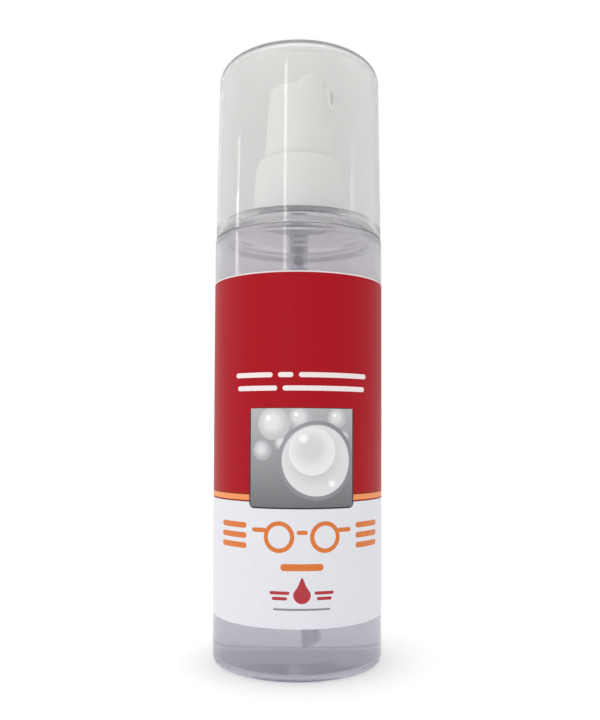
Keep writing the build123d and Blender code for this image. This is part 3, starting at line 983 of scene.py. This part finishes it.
# ---------------------------------------------------------------- overcap
def cap_outline():
    """Inside from the crown's middle down to the rim, then the outside back up to the crown's middle."""

    def crown(top, reach):
        flat = cap_top_radius - cap_corner
        bend = (flat**2 + cap_crown**2) / (2 * cap_crown)
        return top - bend + math.sqrt(bend**2 - reach**2)

    def side(rim, shoulder, top, corner):
        steps = 14
        edge = crown(top, shoulder)
        outline = [Vector((rim, cap_bottom))]
        start = Vector((shoulder, edge - corner * 0.9))
        inner = shoulder - corner * 1.15
        end = Vector((inner, crown(top, inner)))
        middle = Vector((shoulder, edge))
        for k in range(steps + 1):
            t = k / steps
            outline.append(start * (1 - t) ** 2 + middle * 2 * t * (1 - t) + end * t**2)
        for k in range(1, steps + 1):
            reach = inner * (1 - k / steps)
            outline.append(Vector((reach, crown(top, reach))))
        return outline

    outside = side(cap_radius, cap_top_radius, cap_top, cap_corner)
    inner_radius = cap_radius - cap_wall
    inside = side(inner_radius, cap_top_radius - cap_wall, cap_top - cap_roof, cap_corner - cap_wall)
    bead_middle = cap_bottom + cap_bead_rise
    bead = [
        Vector((inner_radius, bead_middle + cap_bead_half)),
        Vector((inner_radius - cap_bead, bead_middle)),
        Vector((inner_radius, bead_middle - cap_bead_half)),
    ]
    rim = [
        Vector((inner_radius, cap_bottom + rim_break)),
        Vector((inner_radius + edge_break, cap_bottom)),
        Vector((cap_radius - edge_break, cap_bottom)),
        Vector((cap_radius, cap_bottom + rim_break)),
    ]
    return list(reversed(inside[1:])) + bead + rim + outside[1:]


place(lathe("overcap_shell", cap_outline()), "cap", cap_plastic, "clear_cap", "overcap")


# ---------------------------------------------------------------- collar
def collar_outline():
    """From the bore's foot out round the flared foot and the mouth, then in over the deck."""
    return rounded(
        [
            (collar_bore, collar_bottom + 2.0, 0),
            (collar_bore, collar_bottom, 0.25),
            (collar_foot_radius, collar_bottom, 0.4),
            (collar_foot_radius, collar_bottom + collar_foot_height, 3.0),
            (collar_radius, collar_top - 2.6, 2.4),
            (collar_radius - 0.6, collar_top - 0.5, 0.9),
            (collar_mouth + 0.25, collar_top, 0.15),
            (collar_mouth, collar_top, 0.1),
            (collar_mouth, deck_top, 0.3),
            (deck_hole, deck_top, 0.1),
            (deck_hole, deck_bottom, 0.05),
            (collar_bore, deck_bottom, 0.2),
            (collar_bore, collar_bottom + 2.0, 0),
        ],
        steps=9,
    )[:-1]


place(
    lathe("collar_shell", collar_outline(), closed=True),
    "closure",
    white_plastic,
    "white_moulding",
    "closure_collar",
)
collar_thread_start = neck_root + thread_start - thread_pitch / 2
collar_thread = thread("collar_thread", collar_bore, -collar_thread_depth, collar_thread_start, 1.0)
place(collar_thread, "closure", white_plastic, "white_moulding")

# ---------------------------------------------------------------- pump seen through the bottle
ball_radius = (ball_top - ball_bottom) / 2
spring_shelf = spring_bottom - spring_lift
inlet_top = spring_shelf - ball_bore_depth
tube_socket = tube_radius + 0.02


def housing_outline():
    """Outside from the tube's socket up to the flange, then the bores back down."""
    return rounded(
        [
            (tube_socket, housing_bottom + 2.0, 0),
            (tube_socket, housing_bottom, 0.15),
            (barrel_outside, housing_bottom, 0.2),
            (barrel_outside, chamber_floor - barrel_step, 0.3),
            (chamber_outside, chamber_floor - barrel_step, 0.5),
            (chamber_outside, flange_top - seat_depth, 0.3),
            (seat_outside, flange_top - seat_depth, 0.3),
            (seat_outside, flange_top - flange_thickness, 0.3),
            (flange_radius, flange_top - flange_thickness, 0.1),
            (flange_radius, flange_top, 0.2),
            (mouth_radius, flange_top, 0.1),
            (mouth_radius, flange_top - mouth_depth, 0.05),
            (chamber_radius, flange_top - mouth_depth, 0.05),
            (chamber_radius, chamber_floor, 0.1),
            (spring_bore, chamber_floor, 0.2),
            (spring_bore, spring_shelf, 0.05),
            (ball_bore, spring_shelf, 0.05),
            (ball_bore, inlet_top + ball_cone, 0.1),
            (inlet_bore, inlet_top, 0.1),
            (inlet_bore, tube_top, 0.1),
            (tube_socket, tube_top, 0.05),
            (tube_socket, housing_bottom + 2.0, 0),
        ],
        steps=5,
    )[:-1]


place(
    lathe("housing_shell", housing_outline(), closed=True, segments=96),
    "pump_unit",
    natural_pp,
    "natural_moulding",
    "pump_housing",
)

# The spring's end turns are closed up; its working turns share the rest of its length.
wire = 0.225
closed_turns, top_turns = 1.75, 1.0
open_turns = 5.6
closed_pitch = 2 * wire + 0.06
spring_middle = spring_outside - wire
open_rise = (spring_top - spring_bottom - 2 * wire - (closed_turns + top_turns) * closed_pitch) / open_turns
spring_path = [
    p + Vector((0, 0, spring_bottom + wire))
    for p in helix(
        spring_middle,
        [(closed_turns, closed_pitch), (open_turns, open_rise), (top_turns, closed_pitch)],
    )
]
spring = sweep("spring_wire", spring_path, circle(wire, 14), helix_frames(spring_path))
spring.data.materials.append(steel)
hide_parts("main_spring")
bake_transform(spring)


def ball_outline(steps=32):
    """A half circle from the ball's foot to its top."""
    middle = (ball_top + ball_bottom) / 2
    outline = []
    for k in range(steps + 1):
        angle = math.pi * k / steps
        radius = max(ball_radius * math.sin(angle), 0)
        outline.append(Vector((radius, middle - ball_radius * math.cos(angle))))
    return outline


place(lathe("polished_ball", ball_outline(), segments=64), "ball", steel, "spring_steel", "inlet_ball")


# ---------------------------------------------------------------- actuator button
def turn_to_spray(piece):
    """Turns a piece made with its nozzle along +X to the nozzle's real direction."""
    piece.data.transform(Matrix.Rotation(spray_azimuth, 4, "Z"))
    return piece


def pad_height(x):
    """Height of the finger pad above the rim: a curve that climbs from the back to the hood's ridge."""
    t = min(max((x + rim_radius) / (ridge + rim_radius), 0.0), 1.0)
    return pad_rise * 2 * t * (1 - t) * 0.55 + hood_height * t**2.1


def hood_at(reach):
    """Height of the hood above the rim, by distance from its middle: straight side, then a full round."""
    flat = hood_radius - hood_edge
    if reach <= flat:
        return hood_height
    return hood_height - hood_edge + math.sqrt(max(hood_edge**2 - (reach - flat) ** 2, 0.0))


def build_button():
    """Skirt, rim and shaped top as one skin, then the hollow inside with the stem's socket."""
    segments = 192
    points = []

    def add_ring(radius, height, centre=0.0, shape=None):
        first = len(points)
        for k in range(segments):
            a = TURN * k / segments
            x, y = centre + radius * math.cos(a), radius * math.sin(a)
            points.append((x, y, shape(x, y) if shape else height))
        return list(range(first, first + segments))

    side = rounded(
        [
            (skirt_radius - button_wall, button_bottom, 0),
            (skirt_radius, button_bottom, 0.2),
            (rim_radius, rim_height, 0.35),
            (rim_radius - 0.6, rim_height, 0),
        ],
        steps=6,
    )
    rings = [add_ring(radius, height) for radius, height in side]
    foot = hood_radius + 0.06

    def top_height(x, y):
        reach = math.hypot(x - hood_shift, y)
        return rim_height + min(hood_at(reach), pad_height(x))

    rings.append(add_ring(foot, rim_height, hood_shift))
    rings.append(add_ring(hood_radius, rim_height + 0.02, hood_shift))
    for k in range(1, 6):
        rise = (hood_height - hood_edge) * k / 5

        def side_height(x, y, rise=rise):
            return rim_height + min(rise, pad_height(x))

        rings.append(add_ring(hood_radius, 0, hood_shift, side_height))
    for k in range(1, 15):
        angle = math.pi / 2 * k / 14
        reach = hood_radius - hood_edge + hood_edge * math.cos(angle)
        rings.append(add_ring(reach, 0, hood_shift, top_height))
    for k in range(1, 12):
        reach = (hood_radius - hood_edge) * (1 - k / 12)
        rings.append(add_ring(reach, 0, hood_shift, top_height))
    centre = len(points)
    points.append((hood_shift, 0, top_height(hood_shift, 0)))
    inner = rounded(
        [
            (skirt_radius - button_wall, button_bottom, 0),
            (rim_radius - button_wall, rim_height - button_roof, 0.8),
            (socket_radius, rim_height - button_roof, 0.3),
            (socket_radius, socket_bottom, 0.3),
            (stem_radius, socket_bottom, 0.1),
            (stem_radius, stem_top, 0),
            (0, stem_top, 0),
        ],
        steps=5,
    )
    inside = [add_ring(radius, height) for radius, height in inner[1:-1]]
    inside_centre = len(points)
    points.append((0, 0, stem_top))
    faces = rings_to_faces(0, len(rings), segments)
    for k in range(segments):
        faces.append((rings[-1][k], rings[-1][(k + 1) % segments], centre))
    for lower, upper in zip([rings[0]] + inside, inside):
        for k in range(segments):
            n = (k + 1) % segments
            faces.append((lower[n], lower[k], upper[k], upper[n]))
    for k in range(segments):
        faces.append((inside[-1][(k + 1) % segments], inside[-1][k], inside_centre))
    return turn_to_spray(mesh_object("button_shell", points, faces, sharp=50.0))


def aim_nozzle(piece):
    """Lays a turned piece along the spray's line, at its height."""
    piece.data.transform(Matrix.Rotation(math.pi / 2, 4, "Y"))
    piece.data.transform(Matrix.Translation((0, 0, spray_height * MM)))
    return turn_to_spray(piece)


def spray_boss():
    """The round boss that holds the insert, with its recess."""
    outline = rounded(
        [
            (0, boss_root, 0),
            (boss_radius, boss_root, 0.2),
            (boss_radius, spray_reach, 0.35),
            (insert_radius, spray_reach, 0.12),
            (insert_radius, spray_reach - boss_depth, 0.05),
            (0, spray_reach - boss_depth, 0),
        ],
        steps=6,
    )
    piece = lathe("spray_boss", outline, segments=64)
    return aim_nozzle(piece)


def spray_insert():
    """The insert: a dished face round a fine hole."""
    front = spray_reach - insert_recess
    outline = rounded(
        [
            (0, front - insert_length, 0),
            (insert_radius, front - insert_length, 0.1),
            (insert_radius, front, 0.12),
            (1.1, front, 0.08),
            (0.24, front - 0.5, 0.05),
            (0.2, front - 1.7, 0),
            (0, front - 1.7, 0),
        ],
        steps=5,
    )
    piece = lathe("insert_cup", outline, segments=64)
    return aim_nozzle(piece)


place(build_button(), "spray_head", white_plastic, "white_moulding", "actuator")
place(spray_boss(), "spray_head", white_plastic, "white_moulding")
# The insert's black is painted shade, standing in for the shade inside its recess.
place(spray_insert(), "spray_head", shade_black_pp, "dark_moulding", "spray_insert")

# ---------------------------------------------------------------- pieces that keep their CAD shape
carried = {
    "neck_gasket": seal,
    "vent_seal": seal,
    "pump_retainer": white_plastic,
    "stem": white_plastic,
    "piston": natural_pp,
    "piston_seat": natural_pp,
}
for node_name, finish in carried.items():
    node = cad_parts[node_name]
    node.data.materials.clear()
    node.data.materials.append(finish)


# ---------------------------------------------------------------- floor, light and camera
def floor_material():
    material, tree = new_material("pale_matt_floor")
    place_on = add(tree, "TexCoord").outputs["Object"]
    cloud = add(tree, "TexNoise", {"Vector": place_on, "Scale": 12.0, "Detail": 2.0})
    tone = add(
        tree,
        "Mix",
        {0: cloud.outputs["Fac"], 6: colour("#F6F6F6"), 7: colour("#FAFAFA")},
        data_type="RGBA",
    )
    shader = add(
        tree,
        "BsdfPrincipled",
        {
            "Base Color": tone.outputs[2],
            "Roughness": 0.7,
            "Emission Color": (1.0, 1.0, 1.0, 1.0),
            "Emission Strength": 0.25,
        },
    )
    finish_surface(tree, shader.outputs[0])
    return material


far = 4000
corners = [(-far, -far, 0), (far, -far, 0), (far, far, 0), (-far, far, 0)]
floor = mesh_object("studio_floor", corners, [(0, 1, 2, 3)])
floor.data.materials.append(floor_material())


def softbox(name, azimuth, height, distance, size, power, aim=70.0):
    """An area lamp at an azimuth in degrees from the label's front, positive to its right."""
    light = bpy.data.lights.new(name, "AREA")
    light.shape = "RECTANGLE"
    light.size, light.size_y = size
    light.energy = power
    lamp = bpy.data.objects.new(name, light)
    angle = math.radians(azimuth - 90)
    lamp.location = (distance * math.cos(angle), distance * math.sin(angle), height)
    towards = Vector((0, 0, aim * MM)) - lamp.location
    lamp.rotation_euler = towards.to_track_quat("-Z", "Y").to_euler()
    bpy.context.scene.collection.objects.link(lamp)
    return lamp


softbox("strip_left", -18.5, 0.30, 0.75, (0.05, 0.42), 0.20)
softbox("spot_left", -92, 0.22, 0.6, (0.05, 0.16), 0.10)


def glow(tree, way, azimuth, height, width, strength):
    """A soft-edged patch of light or, below 0, of shade in the world. Its angles are in degrees."""
    a, h = math.radians(azimuth - 90), math.radians(height)
    aim = (math.cos(h) * math.cos(a), math.cos(h) * math.sin(a), math.sin(h))
    facing = add(tree, "VectorMath", {0: way, 1: aim}, operation="DOT_PRODUCT").outputs["Value"]
    return add(
        tree,
        "MapRange",
        {"Value": facing, "From Min": math.cos(math.radians(width)), "From Max": 1.0, "To Max": strength},
        interpolation_type="SMOOTHERSTEP",
    ).outputs[0]


def studio_world():
    """A pale room, dim in front of the object and bright behind it, with soft patches round it."""
    world = bpy.data.worlds.new("studio_white")
    world.use_nodes = True
    tree = world.node_tree
    tree.nodes.clear()
    way = add(tree, "TexCoord").outputs["Generated"]
    depth = add(tree, "SeparateXYZ", {0: way}).outputs["Y"]
    room = add(
        tree,
        "MapRange",
        {"Value": depth, "From Min": -1.0, "From Max": 0.3, "To Min": 0.34, "To Max": 0.85},
        interpolation_type="SMOOTHSTEP",
    ).outputs[0]
    # azimuth, height, width and strength of each patch
    patches = ((-24, 22, 62, 0.50), (60, 20, 45, 0.06), (-20, 75, 50, 0.35), (158, 8, 50, -0.16))
    for azimuth, height, width, gain in patches:
        patch = glow(tree, way, azimuth, height, width, gain)
        room = add(tree, "Math", {0: room, 1: patch}, operation="ADD").outputs[0]
    seen = add(tree, "LightPath").outputs["Is Camera Ray"]
    strength = add(tree, "Mix", {0: seen, 2: room, 3: 1.0})
    sky = add(tree, "Background", {"Color": (1.0, 1.0, 1.0, 1.0), "Strength": strength.outputs[0]})
    add(tree, "OutputWorld", {"Surface": sky.outputs[0]})
    bpy.context.scene.world = world


studio_world()
bpy.context.scene.view_settings.view_transform = "Standard"

camera_data = bpy.data.cameras.new("camera")
camera_data.sensor_width = 36.0
camera_data.lens = 39.69
camera_data.shift_x = 0.0029
camera_data.shift_y = 0.0556
camera_data.clip_start = 0.01
camera = bpy.data.objects.new("camera", camera_data)
camera.location = (0.0, -0.1915, 0.0541)
lean = Matrix.Rotation(math.radians(90 + 2.25), 3, "X") @ Matrix.Rotation(math.radians(0.234), 3, "Z")
camera.rotation_euler = lean.to_euler()
bpy.context.scene.collection.objects.link(camera)
bpy.context.scene.camera = camera
